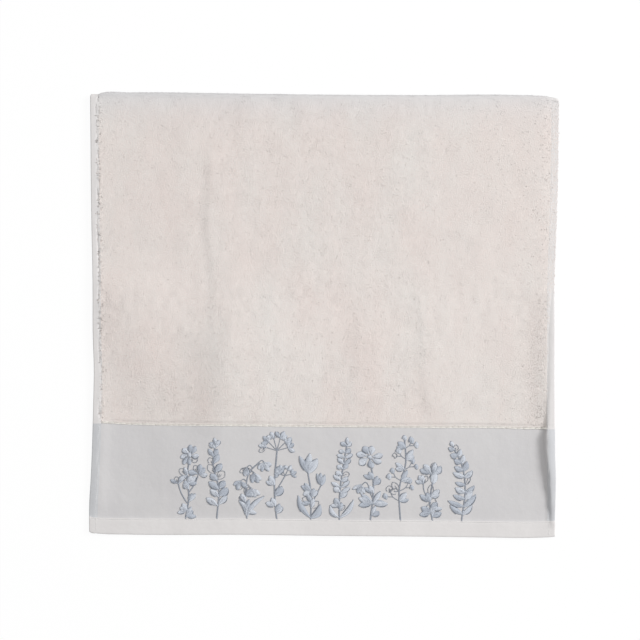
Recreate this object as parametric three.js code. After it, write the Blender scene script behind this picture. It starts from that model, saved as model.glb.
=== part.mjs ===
// A bath towel: one length of cotton terry with a flat woven border band near each end. It is
// folded in half across its length and lies flat, with the fold at +Y, both hemmed ends together
// at -Y, and the half with the border uppermost. It is one piece of cloth, so it is one solid:
// a back layer on the surface, a round fold, and a front layer that lies over the back one.
//
// Millimetres, +Z up. X runs across the towel. The origin is the middle of its underside.
import * as THREE from 'three';

// ---- the cloth -------------------------------------------------------------------------------
const HEM_DEPTH = 25.5; // hem turned at each end
const BAND_DEPTH = 142; // flat woven border band above it
const PICKS_DEPTH = 4; // plain picks between the band and the first row of loops
const PILE_RISE = 6; // length over which the loops come up to their full height
const SIDE_HEM = 12.5; // hem turned down each long side
const HEM_STEP = 3; // length of the step from the hem down to the band
const BAND_SLOPE = 30; // length over which the band rises from the hem
const HALF_LENGTH = 661; // from a hemmed end to where the fold begins

const PILE_THICK = 5; // ground cloth with loops on both faces
const BAND_THICK = 1.3;
const PICKS_THICK = 1.9;
const HEM_THICK = 3.6; // three layers of flat cloth
const SIDE_HEM_THICK = 3; // turned side hem beside the pile
const BAND_SIDE_THICK = 2.4; // turned side hem beside the band

// ---- how the two layers lie ------------------------------------------------------------------
const LEAST_GAP = 1.1; // nowhere do the two layers come closer than about this
const SIDE_GAP = 1.2; // gap between the two side hems
const BACK_TUCK = 2; // the back layer stops this far inside the front one
const EDGE_ROUND = 1.6; // width of the rounded edge all round
const EDGE_SHARE = 0.55; // share of the thickness that is left at the very edge
const SIDE_STEP = 3.5; // width of the step from the pile down to a side hem
const SIDE_DROOP = 1.6; // how far the front layer drops where its side hem is curled under
const CURL_WIDTH = 12;

// ---- how finely the solid is divided ---------------------------------------------------------
const LEFT_INSETS = [0, EDGE_ROUND, 6.5, SIDE_HEM - 1, SIDE_HEM + SIDE_STEP, 25];
const RIGHT_INSETS = [34, 26, 20.5, 16, 12.5, 9, 5.5, EDGE_ROUND, 0];
const CREASED_WIDTH = 200; // the left part, where the folds are closest
const CREASED_STEP = 17;
const PLAIN_STEP = 33;
const FRONT_STEP = 20;
const FOLD_STEPS = 8;

// The cloth from a hemmed end to the fold. gap is what lies between the two layers there.
const CLOTH_ROWS = clothRows([
  { place: 'turned end', depth: 0, thick: EDGE_SHARE * HEM_THICK, side: EDGE_SHARE * HEM_THICK, gap: 1 },
  { place: 'round of the end', depth: EDGE_ROUND, thick: HEM_THICK, side: HEM_THICK, gap: 1 },
  { place: 'stitching', depth: HEM_DEPTH - HEM_STEP - EDGE_ROUND, thick: 3.2, side: HEM_THICK, gap: 1.5 },
  { place: 'head of the hem', depth: HEM_STEP, thick: BAND_THICK, side: BAND_SIDE_THICK, gap: 2.8 },
  { place: 'low band', depth: BAND_SLOPE, thick: BAND_THICK, side: BAND_SIDE_THICK, gap: 3.2 },
  { place: 'high band', depth: BAND_DEPTH - BAND_SLOPE, thick: BAND_THICK, side: BAND_SIDE_THICK, gap: 4 },
  { place: 'plain picks', depth: PICKS_DEPTH, thick: PICKS_THICK, side: BAND_SIDE_THICK, gap: 4 },
  { place: 'first loops', depth: PILE_RISE / 3, thick: 3.9, side: SIDE_HEM_THICK, gap: 3 },
  { place: 'pile', depth: PILE_RISE, thick: PILE_THICK, side: SIDE_HEM_THICK, gap: 2.4 },
  { place: 'start of the fold', end: HALF_LENGTH, thick: PILE_THICK, side: SIDE_HEM_THICK, gap: 2.4 },
]);

// The two long sides at heights down the towel. They are not quite straight.
const SIDE_ROWS = [
  { y: 326, left: -351.8, right: 353.6 },
  { y: 263, left: -351.5, right: 353.1 },
  { y: 209, left: -351.1, right: 351.9 },
  { y: 119, left: -349.7, right: 349 },
  { y: 47, left: -348.2, right: 346.9 },
  { y: -26, left: -348.2, right: 346.9 },
  { y: -90, left: -346.4, right: 346.5 },
  { y: -134, left: -347, right: 346.3 },
  { y: -206, left: -348.5, right: 347.3 },
  { y: -242, left: -350.3, right: 348.5 },
  { y: -300, left: -353.6, right: 347.6 },
  { y: -336, left: -353, right: 347.2 },
];

// The outside of the fold and the edge of the hem, across the towel. The right side lies a
// little lower than the left one, and the corners fall away.
const END_ROWS = [
  { x: -353, fold: 330.5, hem: -325.5 },
  { x: -349, fold: 332, hem: -328.4 },
  { x: -341, fold: 332.6, hem: -329.4 },
  { x: -334, fold: 334.9, hem: -329.8 },
  { x: -291, fold: 335.5, hem: -330.6 },
  { x: -111, fold: 333.3, hem: -330.9 },
  { x: 9, fold: 331.6, hem: -332.4 },
  { x: 160, fold: 331.5, hem: -333.7 },
  { x: 250, fold: 332.1, hem: -335.1 },
  { x: 310, fold: 330.6, hem: -335.5 },
  { x: 331, fold: 329.4, hem: -334.6 },
  { x: 343, fold: 327.2, hem: -334 },
  { x: 352, fold: 324.6, hem: -332.6 },
];

// The right side of the front layer. High up its hem is curled under. Lower down the hem shows,
// raised, with a groove beside it that is deepest where it passes the band.
const RIGHT_ROWS = [
  { y: 10, shows: 0, lift: 0, inset: 9, width: 4, groove: 0, shoulder: 0 },
  { y: -40, shows: 1, lift: 0.8, inset: 9, width: 4, groove: 1, shoulder: 0 },
  { y: -130, shows: 1, lift: 1.6, inset: 11, width: 4, groove: 2.2, shoulder: 0 },
  { y: -162, shows: 1, lift: 2.4, inset: 13, width: 5, groove: 3.6, shoulder: 0.4 },
  { y: -185, shows: 1, lift: 3, inset: 16, width: 6, groove: 5.4, shoulder: 2 },
  { y: -240, shows: 1, lift: 3, inset: 15, width: 5.5, groove: 5.4, shoulder: 2 },
  { y: -270, shows: 1, lift: 2.4, inset: 11, width: 4.5, groove: 4.4, shoulder: 1.6 },
  { y: -296, shows: 1, lift: 1.2, inset: 7, width: 3.5, groove: 2, shoulder: 0.6 },
  { y: -308, shows: 1, lift: 0, inset: 6, width: 3, groove: 0, shoulder: 0 },
];
const SHOULDER_INSET = 26; // the band swells beside the groove, most of all here
const SHOULDER_WIDTH = 40;

// The main soft troughs (depth below 0) and ridges of the front layer, each along a line of
// points [x, y] across its face.
const CREASES = [
  { place: 'upper left trough', width: 8, depth: -1.3, line: [[-174, 228], [-166, 60]] },
  { place: 'left trough', width: 14, depth: -2.1, line: [[-144, 21], [-151, -30], [-180, -160]] },
  { place: 'ridge beside it', width: 11, depth: 1, line: [[-124, 25], [-129, -30], [-152, -150]] },
  { place: 'slanting ridge', width: 17, depth: 1.5, line: [[-303, 111], [-283, 30], [-213, -140]] },
  { place: 'slanting trough', width: 14, depth: -1.5, line: [[-326, 10], [-303, -40], [-268, -160]] },
  { place: 'band hollow', width: 28, depth: -1.4, line: [[-236, -185], [-224, -285]] },
  { place: 'low band hollow', width: 16, depth: -0.8, line: [[-326, -272], [-300, -298]] },
  { place: 'middle trough', width: 14, depth: -1, line: [[10, -20], [51, -32], [42, -100]] },
  { place: 'right of the middle', width: 10, depth: -0.8, line: [[152, 105], [152, 30], [138, -60]] },
  { place: 'right ridge', width: 26, depth: 1, line: [[258, 10], [242, -84], [240, -140]] },
  { place: 'right side trough', width: 12, depth: -1.1, line: [[318, 60], [316, -30], [313, -160]] },
];

// Adds up the depths of the rows, so that each one has its distance from the hemmed end.
function clothRows(rows) {
  let fromEnd = 0;
  return rows.map(({ depth = 0, end, ...row }) => {
    fromEnd = end ?? fromEnd + depth;
    return { fromEnd, ...row };
  });
}

// Reads one column of a table at a place between its rows. Past the ends it keeps the end value.
function read(table, key, at, column) {
  const rows = [...table].sort((a, b) => a[key] - b[key]);
  const above = rows.findIndex((row) => row[key] >= at);
  if (above === 0) return rows[0][column];
  if (above < 0) return rows[rows.length - 1][column];
  const low = rows[above - 1];
  const high = rows[above];
  const share = (at - low[key]) / (high[key] - low[key]);
  return THREE.MathUtils.lerp(low[column], high[column], share);
}

const bump = (distance, width) => Math.exp(-((distance / width) ** 2));

// How far the creases raise (+) or lower (-) the front layer at a point of its face.
function creaseLift(x, y) {
  const point = new THREE.Vector3(x, y, 0);
  const nearest = new THREE.Vector3();
  let lift = 0;
  for (const { line, width, depth } of CREASES) {
    const corners = line.map(([cx, cy]) => new THREE.Vector3(cx, cy, 0));
    const distances = corners.slice(1).map((corner, i) => {
      new THREE.Line3(corners[i], corner).closestPointToPoint(point, true, nearest);
      return nearest.distanceTo(point);
    });
    lift += depth * bump(Math.min(...distances), width);
  }
  return lift;
}

// The columns across the cloth: fixed insets near each side, shares of the rest between them.
function clothColumns() {
  const first = LEFT_INSETS[LEFT_INSETS.length - 1];
  const field = SIDE_ROWS[0].right - SIDE_ROWS[0].left - first - RIGHT_INSETS[0];
  const creased = Math.round(CREASED_WIDTH / CREASED_STEP);
  const plain = Math.round((field - CREASED_WIDTH) / PLAIN_STEP);
  const columns = LEFT_INSETS.map((inset) => ({ side: 'left', inset }));
  for (let i = 1; i < creased; i += 1) {
    columns.push({ side: 'none', share: (i / creased) * (CREASED_WIDTH / field) });
  }
  for (let i = 0; i < plain; i += 1) {
    const from = CREASED_WIDTH / field;
    columns.push({ side: 'none', share: from + (i / plain) * (1 - from) });
  }
  return [...columns, ...RIGHT_INSETS.map((inset) => ({ side: 'right', inset }))];
}

// The sections along the cloth: back layer from its hem to the fold, round the fold, and front
// layer back to its hem. front runs from 0 on the back layer to 1 on the front one.
function clothSections() {
  const ends = CLOTH_ROWS.map((row) => row.fromEnd);
  const back = ends.map((fromEnd) => ({ fromEnd, front: 0, turn: 0 }));
  const fold = [];
  for (let i = 1; i < FOLD_STEPS; i += 1) {
    fold.push({ fromEnd: HALF_LENGTH, front: i / FOLD_STEPS, turn: (Math.PI * i) / FOLD_STEPS });
  }
  const front = ends.slice(0, 1).map((fromEnd) => ({ fromEnd, front: 1, turn: Math.PI }));
  ends.slice(1).forEach((fromEnd, i) => {
    const steps = Math.max(1, Math.round((fromEnd - ends[i]) / FRONT_STEP));
    for (let step = 1; step <= steps; step += 1) {
      const between = THREE.MathUtils.lerp(ends[i], fromEnd, step / steps);
      front.push({ fromEnd: between, front: 1, turn: Math.PI });
    }
  });
  return [...back, ...fold, ...front.reverse()];
}

// One place of the cloth: where it lies, and its outer and inner face.
function clothPoint(column, section) {
  const { fromEnd, front, turn } = section;
  const level = fromEnd - HALF_LENGTH / 2;
  const tuck = BACK_TUCK * (1 - front);
  const left = read(SIDE_ROWS, 'y', level, 'left') + tuck;
  const right = read(SIDE_ROWS, 'y', level, 'right') - tuck;

  let x = left + column.inset;
  if (column.side === 'right') x = right - column.inset;
  if (column.side === 'none') {
    const first = left + LEFT_INSETS[LEFT_INSETS.length - 1];
    x = THREE.MathUtils.lerp(first, right - RIGHT_INSETS[0], column.share);
  }

  // the side hem, its step up to the pile, and the rounded edge
  const inset = column.side === 'none' ? Infinity : column.inset;
  const rightSide = column.side === 'right';
  const shown = rightSide ? THREE.MathUtils.lerp(1, read(RIGHT_ROWS, 'y', level, 'shows'), front) : 1;
  const inHem = 1 - THREE.MathUtils.clamp((inset - SIDE_HEM + 1) / SIDE_STEP, 0, 1);
  const atEdge = Math.min(1, EDGE_SHARE + ((1 - EDGE_SHARE) * inset) / EDGE_ROUND);
  const thickness = (share) => {
    const field = read(CLOTH_ROWS, 'fromEnd', fromEnd, 'thick');
    const hem = read(CLOTH_ROWS, 'fromEnd', fromEnd, 'side');
    return THREE.MathUtils.lerp(field, hem, share) * atEdge;
  };
  const backThick = thickness(inHem);
  const thick = thickness(inHem * shown);
  const fieldGap = read(CLOTH_ROWS, 'fromEnd', fromEnd, 'gap');
  const gap = THREE.MathUtils.lerp(fieldGap, Math.min(SIDE_GAP, fieldGap), inHem * shown);

  // along the towel, up to where the fold begins
  const foldRadius = (backThick + gap + thick) / 2;
  const foldStart = read(END_ROWS, 'x', x, 'fold') - foldRadius;
  const hemEdge = read(END_ROWS, 'x', x, 'hem') + tuck;
  const y = THREE.MathUtils.lerp(hemEdge, foldStart, fromEnd / HALF_LENGTH);

  if (front === 0) {
    return { outer: [x, y, 0], inner: [x, y, backThick] };
  }
  if (front < 1) {
    const along = Math.sin(turn);
    const up = Math.cos(turn);
    const hollow = gap / 2;
    return {
      outer: [x, y + foldRadius * along, foldRadius * (1 - up)],
      inner: [x, y + hollow * along, foldRadius - hollow * up],
    };
  }

  // the front layer, lifted by its creases and by what happens along its right side
  let lift = creaseLift(x, y);
  const near = right - x;
  lift += read(RIGHT_ROWS, 'y', y, 'shoulder') * bump(near - SHOULDER_INSET, SHOULDER_WIDTH);
  lift += read(RIGHT_ROWS, 'y', y, 'lift') * bump(near, SIDE_HEM);
  const grooveInset = read(RIGHT_ROWS, 'y', y, 'inset');
  const grooveWidth = read(RIGHT_ROWS, 'y', y, 'width');
  lift -= read(RIGHT_ROWS, 'y', y, 'groove') * bump(near - grooveInset, grooveWidth);
  if (rightSide) lift -= SIDE_DROOP * (1 - shown) * bump(near, CURL_WIDTH);
  const seat = backThick + Math.max(LEAST_GAP, gap + lift);
  return { outer: [x, y, seat + thick], inner: [x, y, seat] };
}

// Joins the outer and inner faces of all sections, and closes them round the four edges.
function clothGeometry() {
  const columns = clothColumns();
  const sections = clothSections();
  const points = [];
  for (const section of sections) {
    for (const column of columns) {
      const { outer, inner } = clothPoint(column, section);
      points.push(...outer, ...inner);
    }
  }
  const OUTER = 0;
  const INNER = 1;
  const at = (section, column, face) => 2 * (section * columns.length + column) + face;
  const faces = [];
  const quad = (a, b, c, d) => faces.push(a, b, c, a, c, d);
  const lastSection = sections.length - 1;
  const lastColumn = columns.length - 1;
  for (let s = 0; s < lastSection; s += 1) {
    for (let c = 0; c < lastColumn; c += 1) {
      quad(at(s, c, OUTER), at(s + 1, c, OUTER), at(s + 1, c + 1, OUTER), at(s, c + 1, OUTER));
      quad(at(s, c, INNER), at(s, c + 1, INNER), at(s + 1, c + 1, INNER), at(s + 1, c, INNER));
    }
    quad(at(s, 0, OUTER), at(s, 0, INNER), at(s + 1, 0, INNER), at(s + 1, 0, OUTER));
    const right = lastColumn;
    quad(at(s, right, OUTER), at(s + 1, right, OUTER), at(s + 1, right, INNER), at(s, right, INNER));
  }
  for (let c = 0; c < lastColumn; c += 1) {
    quad(at(0, c, OUTER), at(0, c + 1, OUTER), at(0, c + 1, INNER), at(0, c, INNER));
    const end = lastSection;
    quad(at(end, c, OUTER), at(end, c, INNER), at(end, c + 1, INNER), at(end, c + 1, OUTER));
  }

  const geometry = new THREE.BufferGeometry();
  geometry.setAttribute('position', new THREE.Float32BufferAttribute(points, 3));
  geometry.setIndex(faces);
  geometry.computeBoundingBox();
  const middle = geometry.boundingBox.getCenter(new THREE.Vector3());
  geometry.translate(-middle.x, -middle.y, 0);
  geometry.computeVertexNormals();
  return geometry;
}

const terry = new THREE.MeshStandardMaterial({ color: '#e0d8d4', roughness: 0.95, metalness: 0 });
const cloth = new THREE.Mesh(clothGeometry(), terry);
cloth.name = 'towel';

const towel = new THREE.Group();
towel.add(cloth);

export default towel;
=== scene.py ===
import math

import bpy
import numpy as np
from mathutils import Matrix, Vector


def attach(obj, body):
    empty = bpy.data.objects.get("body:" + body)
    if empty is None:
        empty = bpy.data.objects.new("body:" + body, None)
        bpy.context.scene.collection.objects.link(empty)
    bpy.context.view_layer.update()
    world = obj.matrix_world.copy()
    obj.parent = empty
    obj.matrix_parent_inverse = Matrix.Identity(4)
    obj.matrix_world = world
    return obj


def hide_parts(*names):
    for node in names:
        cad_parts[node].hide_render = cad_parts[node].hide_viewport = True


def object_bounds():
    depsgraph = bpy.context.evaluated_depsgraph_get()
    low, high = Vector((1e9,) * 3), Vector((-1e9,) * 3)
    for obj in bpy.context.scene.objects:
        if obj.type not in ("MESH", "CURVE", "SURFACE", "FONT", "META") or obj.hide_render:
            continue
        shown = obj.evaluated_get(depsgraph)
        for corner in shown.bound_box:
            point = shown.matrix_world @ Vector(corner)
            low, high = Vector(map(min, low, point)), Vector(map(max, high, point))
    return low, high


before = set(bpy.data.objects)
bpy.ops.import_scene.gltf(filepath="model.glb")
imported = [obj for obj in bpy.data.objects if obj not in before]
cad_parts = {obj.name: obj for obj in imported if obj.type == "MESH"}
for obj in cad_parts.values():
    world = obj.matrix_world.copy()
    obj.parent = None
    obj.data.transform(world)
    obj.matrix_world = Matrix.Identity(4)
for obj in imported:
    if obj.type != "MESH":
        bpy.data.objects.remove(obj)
solid_low, solid_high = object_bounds()

# ----------------------------------------------------------------------------------------------------
# The cloth. One length of cotton, woven in one piece: terry in the middle, and near each end a flat
# satin border band. All four edges are turned and stitched. It is folded in half across its length,
# so it lies as a back layer, a round fold at +Y, and a front layer with the border uppermost.
# ----------------------------------------------------------------------------------------------------
MM = 0.001  # the sizes of the towel are in millimetres, and Blender's are in metres

CLOTH_WIDTH = 700.0
HALF_LENGTH = 661.0  # from a hemmed end to where the fold begins
FOLD_LENGTH = 15.0  # the length of cloth that goes round the fold
FOLD_END = HALF_LENGTH + FOLD_LENGTH
CLOTH_LENGTH = HALF_LENGTH + FOLD_END
HEM_DEPTH = 24.2
BAND_HEAD = HEM_DEPTH + 140.2
PILE_FOOT = BAND_HEAD + 4.2  # above the plain picks
PILE_FULL = PILE_FOOT + 5.0
SIDE_HEM = 12.5
SIDE_STEP = 3.0  # about how wide the step between a side hem and the pile is
GROUND = 3.2  # thickness of the ground cloth between its loops
PILE_OVER_LEFT = 4.0  # how much of the left hem the pile covers
PILE_OVER_RIGHT = 1.0  # and of the right hem, less PILE_SHORT in the upper part
PILE_SHORT = 1.5
RAGGED_EDGE = 2.2  # how far the edge of the pile strays along the side hems
RAGGED_LENGTH = 4.4  # and in lengths of about this
UPPER_PART = -125.0  # the height at which the upper part begins
UPPER_EASE = 30.0
NOTCH = 1.5  # the depth of the gap that opens here and there between the pile and the left hem
NOTCH_WIDTH = 1.3
NOTCH_LENGTH = 4.2  # the length of those gaps, and of the stretches between them
NOTCH_INSET = 2.4  # how far they lie inside the edge of the hem
NOTCH_SHARE = 0.3  # the more of this, the more of the edge is open
NOTCH_SHARPNESS = 1.7  # and the more of this, the more suddenly each gap opens
RIGHT_NOTCH = 0.38  # the depth of the shallow one along the right hem
RIGHT_NOTCH_WIDTH = 1.8
RIGHT_NOTCH_INSET = 0.4
LEAST_STRIP = 4.0  # where its strip is narrower than this, the right hem fades into the pile
LEAST_NOTCHED = 5.0  # and its notch fades out where it is narrower than this
LEFT_TILT = 2.4  # how far the band rises where it meets the left hem
TILT_WIDTH = 14.0
LEAST_GAP = 1.1  # between the two layers
BACK_TUCK = 2.0  # how much narrower and shorter the back layer lies on each side
FOLDS_CLEAR = 60.0  # the folds fade out over this width before the right edge
FOLDS_TURN = 8.0  # and over the first eighth of the way round the fold
HEAD_FADE = 400.0  # the slant of the band's head fades out over this length before the fold
EDGE_ROUND = 1.5  # the cloth thins to a rounded edge over this width
EDGE_THINNING = 0.85

# At distances from a hemmed end: the whole thickness with its loops, the woven ground alone, the turned
# side hem, the gap between the two layers, how much of the left tilt there is, and how far the back
# layer is off the table, on its stitches and picks.
LENGTHWISE = [
    {"at": 0.0, "whole": 3.6, "ground": 3.6, "side": 3.6, "gap": 1.0, "tilt": 0.0, "off": 0.4},
    {"at": HEM_DEPTH - 2.5, "whole": 3.3, "ground": 3.3, "side": 3.6, "gap": 1.5, "tilt": 0.0, "off": 0.4},
    {"at": HEM_DEPTH + 1.0, "whole": 1.3, "ground": 1.3, "side": 2.4, "gap": 2.8, "tilt": 0.4, "off": 1.0},
    {"at": HEM_DEPTH + 30.0, "whole": 1.3, "ground": 1.3, "side": 2.4, "gap": 3.6, "tilt": 1.0, "off": 1.0},
    {"at": BAND_HEAD, "whole": 1.3, "ground": 1.3, "side": 2.4, "gap": 5.2, "tilt": 1.0, "off": 1.0},
    {"at": PILE_FOOT, "whole": 2.1, "ground": 1.6, "side": 2.6, "gap": 4.6, "tilt": 0.6, "off": 0.8},
    {"at": PILE_FULL, "whole": 3.9, "ground": 2.4, "side": 3.0, "gap": 3.2, "tilt": 0.2, "off": 0.0},
    {"at": PILE_FULL + 70, "whole": 5.0, "ground": GROUND, "side": 3.0, "gap": 2.4, "tilt": 0.0, "off": 0.0},
    {"at": HALF_LENGTH, "whole": 5.0, "ground": GROUND, "side": 3.0, "gap": 2.4, "tilt": 0.0, "off": 0.0},
]

# The long sides, at heights up the towel: how far each lies inside the solid's box.
SIDES = [
    {"y": -336, "left": 1.6, "right": 6.4},
    {"y": -300, "left": 1.4, "right": 6.8},
    {"y": -242, "left": 4.4, "right": 6.5},
    {"y": -206, "left": 6.0, "right": 7.8},
    {"y": -134, "left": 8.0, "right": 8.0},
    {"y": -90, "left": 9.0, "right": 8.2},
    {"y": -26, "left": 7.3, "right": 7.8},
    {"y": 47, "left": 7.3, "right": 7.8},
    {"y": 119, "left": 5.7, "right": 5.0},
    {"y": 209, "left": 4.4, "right": 2.3},
    {"y": 263, "left": 4.0, "right": 1.4},
    {"y": 326, "left": 3.3, "right": 0.6},
]

# The outside of the fold and the edge of the hem, across the towel, inside the solid's box, and how
# far the head of the band lies above its usual level. The right side lies a little lower.
ENDS = [
    {"x": -353, "fold": 5.0, "hem": 11.2, "head": 1.8},
    {"x": -349, "fold": 3.8, "hem": 8.6, "head": 1.8},
    {"x": -341, "fold": 3.6, "hem": 7.7, "head": 1.8},
    {"x": -334, "fold": 1.4, "hem": 7.1, "head": 1.8},
    {"x": -291, "fold": 0.6, "hem": 6.0, "head": 0.6},
    {"x": -111, "fold": 2.6, "hem": 5.6, "head": -0.6},
    {"x": 9, "fold": 4.0, "hem": 4.0, "head": -0.6},
    {"x": 160, "fold": 4.6, "hem": 2.8, "head": -0.6},
    {"x": 250, "fold": 3.9, "hem": 1.6, "head": -0.4},
    {"x": 310, "fold": 5.0, "hem": 1.0, "head": -1.2},
    {"x": 331, "fold": 6.1, "hem": 1.7, "head": -1.4},
    {"x": 343, "fold": 8.3, "hem": 2.4, "head": -1.4},
    {"x": 352, "fold": 10.9, "hem": 3.8, "head": -1.4},
]

# The right side of the front layer, at heights up the towel: how much of its turned hem shows, and the
# ridge in which it stands up, as its height, how far in from the edge its crest and its foot are, and
# how its inner flank bends: 1 is round with a sharp foot, and above that the foot is softer. The cloth
# beside it also rises towards it a little.
RIGHT_SIDE = [
    {"y": -322, "strip": 12.5, "ridge": 0.0, "crest": 1.0, "foot": 9.0, "bend": 1.2, "rise": 0.3},
    {"y": -308, "strip": 12.5, "ridge": 2.0, "crest": 2.0, "foot": 10.0, "bend": 1.2, "rise": 0.6},
    {"y": -296, "strip": 12.5, "ridge": 3.6, "crest": 3.2, "foot": 10.2, "bend": 1.2, "rise": 0.8},
    {"y": -285, "strip": 12.5, "ridge": 6.0, "crest": 4.2, "foot": 11.8, "bend": 1.2, "rise": 1.0},
    {"y": -270, "strip": 12.5, "ridge": 6.8, "crest": 5.0, "foot": 13.2, "bend": 1.4, "rise": 1.5},
    {"y": -255, "strip": 12.5, "ridge": 8.2, "crest": 6.8, "foot": 17.2, "bend": 1.8, "rise": 2.2},
    {"y": -240, "strip": 12.5, "ridge": 9.6, "crest": 7.0, "foot": 19.6, "bend": 2.4, "rise": 3.0},
    {"y": -225, "strip": 12.5, "ridge": 10.2, "crest": 8.8, "foot": 23.6, "bend": 3.0, "rise": 3.4},
    {"y": -203, "strip": 12.5, "ridge": 10.2, "crest": 10.4, "foot": 30.4, "bend": 4.8, "rise": 3.6},
    {"y": -180, "strip": 12.5, "ridge": 10.2, "crest": 10.6, "foot": 29.4, "bend": 4.4, "rise": 3.8},
    {"y": -165, "strip": 12.5, "ridge": 5.0, "crest": 9.2, "foot": 18.0, "bend": 2.0, "rise": 4.2},
    {"y": -150, "strip": 12.5, "ridge": 2.5, "crest": 8.0, "foot": 18.0, "bend": 2.0, "rise": 4.8},
    {"y": -135, "strip": 12.0, "ridge": 1.5, "crest": 7.0, "foot": 18.0, "bend": 2.0, "rise": 4.8},
    {"y": -113, "strip": 10.5, "ridge": 1.1, "crest": 5.0, "foot": 12.5, "bend": 1.6, "rise": 4.4},
    {"y": -60, "strip": 9.0, "ridge": 0.5, "crest": 3.0, "foot": 11.0, "bend": 1.6, "rise": 3.8},
    {"y": -22, "strip": 8.5, "ridge": 0.5, "crest": 2.0, "foot": 10.5, "bend": 1.6, "rise": 3.2},
    {"y": 22, "strip": 6.0, "ridge": 0.3, "crest": 1.0, "foot": 8.0, "bend": 1.6, "rise": 2.4},
    {"y": 60, "strip": 0.0, "ridge": 0.0, "crest": 1.0, "foot": 8.0, "bend": 1.6, "rise": 0.8},
    {"y": 110, "strip": 0.0, "ridge": 0.0, "crest": 1.0, "foot": 8.0, "bend": 1.6, "rise": 0.0},
]
CREASE = 0.55  # the share of the ridge's height that it climbs in one sharp crease on its inner flank
CREASE_WIDTH = 4.6
CREASE_SHIFT = 2.7  # how far the crease lies outside the steepest place of the flank
CREST_ROUND = 0.02  # how far the ridge falls again to its outer edge, for the square of its height
RISE_FROM = 56.0  # how far in from the edge the cloth begins to rise beside the ridge
RISE_TO = 7.0  # and how far in it has risen
SIDE_DROOP = 1.3  # how far the pile droops at the right edge where its hem is turned under
DROOP_WIDTH = 12.0

# The folds of the front layer. Each rises to a soft crest along a line of points (x, y), steeply on
# its left side and gently on its right, and fades out at both ends of the line.
FOLDS = [
    {
        "rise": 0.65, "left": 9, "right": 60, "fade": 60,
        "line": [(-167, 250), (-168, 200), (-172, 140), (-158, 20)],
    },
    {
        "rise": 3.8, "left": 44, "right": 380, "fade": 180,
        "line": [(-128, 30), (-134, -22), (-143, -83), (-152, -250)],
    },
    {"rise": 4.6, "left": 50, "right": 170, "fade": 110, "line": [(-136, -15), (-138, -80), (-148, -165)]},
    {
        "rise": 3.1, "left": 60, "right": 120, "fade": 70,
        "line": [(-330, 66), (-292, 8), (-256, -60), (-214, -150), (-195, -270)],
    },
    {"rise": 0.8, "left": 14, "right": 40, "fade": 46, "line": [(58, -5), (54, -60), (50, -140)]},
    {"rise": 0.9, "left": 12, "right": 40, "fade": 46, "line": [(146, 20), (150, -22), (160, -150)]},
    {"rise": 0.5, "left": 10, "right": 20, "fade": 46, "line": [(-121, 332), (-123, 250)]},
    {"rise": 0.5, "left": 10, "right": 20, "fade": 46, "line": [(-33, 332), (-34, 285)]},
]


def read(table, key, at, column, slope=1.0):
    """A column of a table between its rows, along a smooth curve. Slope 0 goes in soft steps."""
    rows = sorted(table, key=lambda row: row[key])
    keys = np.array([row[key] for row in rows], float)
    values = np.array([row[column] for row in rows], float)
    slopes = slope * np.gradient(values, keys)
    at = np.clip(at, keys[0], keys[-1])
    low = np.clip(np.searchsorted(keys, at) - 1, 0, len(keys) - 2)
    step = keys[low + 1] - keys[low]
    t = (at - keys[low]) / step
    start = (1 + 2 * t) * (1 - t) ** 2 * values[low] + t * (1 - t) ** 2 * step * slopes[low]
    end = t**2 * (3 - 2 * t) * values[low + 1] + t**2 * (t - 1) * step * slopes[low + 1]
    return start + end


def ease(share):
    """A soft step from 0 to 1."""
    share = np.clip(share, 0, 1)
    return share * share * (3 - 2 * share)


def bump(distance, width):
    """1 at no distance, falling off softly to 0 on both sides."""
    return np.exp(-((distance / width) ** 2))


def drift(x, y, size, seed):
    """A smooth random field between about -1 and 1, with lumps of the given size."""
    cells = 64
    lumps = np.random.default_rng(seed).uniform(-1, 1, (cells, cells))
    u, v = x / size + cells / 2, y / size + cells / 2
    i, j = np.floor(u).astype(int), np.floor(v).astype(int)
    s, t = ease(u - i), ease(v - j)
    i, j, k, m = i % cells, j % cells, (i + 1) % cells, (j + 1) % cells
    low = lumps[i, j] * (1 - s) + lumps[k, j] * s
    high = lumps[i, m] * (1 - s) + lumps[k, m] * s
    return low * (1 - t) + high * t


CRUMPLE = 0.25
CRUMPLE_SIZE = 26.0
FINE_CRUMPLE = 0.2  # and a finer one in a belt across the middle
FINE_CRUMPLE_SIZE = 11.0
FINE_CRUMPLE_AT = 10.0
FINE_CRUMPLE_WIDTH = 60.0


def fold_lift(x, y):
    """How far the folds and a light crumple raise the front layer."""
    belt = bump(y - FINE_CRUMPLE_AT, FINE_CRUMPLE_WIDTH)
    lift = CRUMPLE * drift(x, y, CRUMPLE_SIZE, 1) + FINE_CRUMPLE * drift(x, y, FINE_CRUMPLE_SIZE, 2) * belt
    for fold in FOLDS:
        xs, ys = np.array(fold["line"][::-1], float).T
        beside = x - np.interp(y, ys, xs)
        fade = ease((y - ys[0]) / fold["fade"] + 0.5) * ease((ys[-1] - y) / fold["fade"] + 0.5)
        lift += fold["rise"] * fade * bump(beside, np.where(beside < 0, fold["left"], fold["right"]))
    return lift


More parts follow.
